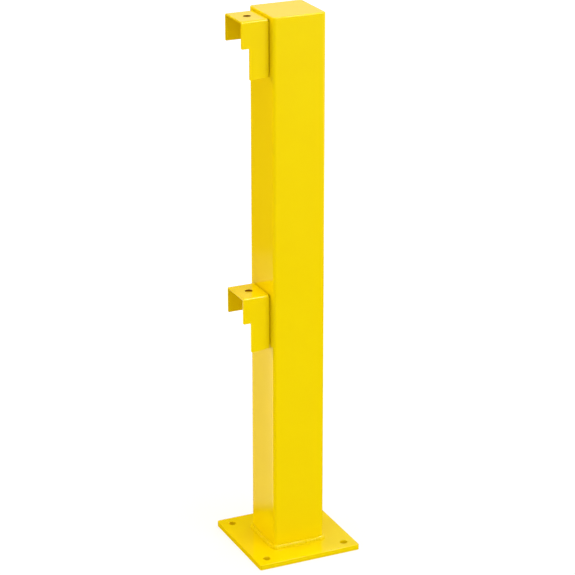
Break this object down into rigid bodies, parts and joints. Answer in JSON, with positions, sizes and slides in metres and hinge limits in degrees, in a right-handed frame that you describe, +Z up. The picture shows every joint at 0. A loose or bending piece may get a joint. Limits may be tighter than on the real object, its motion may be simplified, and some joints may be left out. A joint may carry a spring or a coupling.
{
  "type": "steel safety bollard",
  "caption": "Square steel bollard with a welded floor plate and inverted-U brackets on one face that carry the rails of an impact-protection railing.",
  "frame": {"origin": "on the floor, at the centre of the base plate's underside, on the post's centre line", "axes": "+Z up along the post; the brackets point along -X; their long flange is on the -Y side"},
  "size_m": [0.202, 0.2, 1.01],
  "materials": {
    "yellow_powder_coat": "glossy traffic-yellow powder coat on welded steel"
  },
  "bodies": {
    "root": {"base_plate": "yellow_powder_coat", "post_tube": "yellow_powder_coat", "cap_plate": "yellow_powder_coat", "cap_weld": "yellow_powder_coat", "foot_weld_right": "yellow_powder_coat", "foot_weld_rear": "yellow_powder_coat", "foot_weld_left": "yellow_powder_coat", "foot_weld_front": "yellow_powder_coat", "upper_bracket": "yellow_powder_coat", "upper_bracket_weld": "yellow_powder_coat", "lower_bracket": "yellow_powder_coat", "lower_bracket_weld": "yellow_powder_coat"}
  },
  "joints": []
}
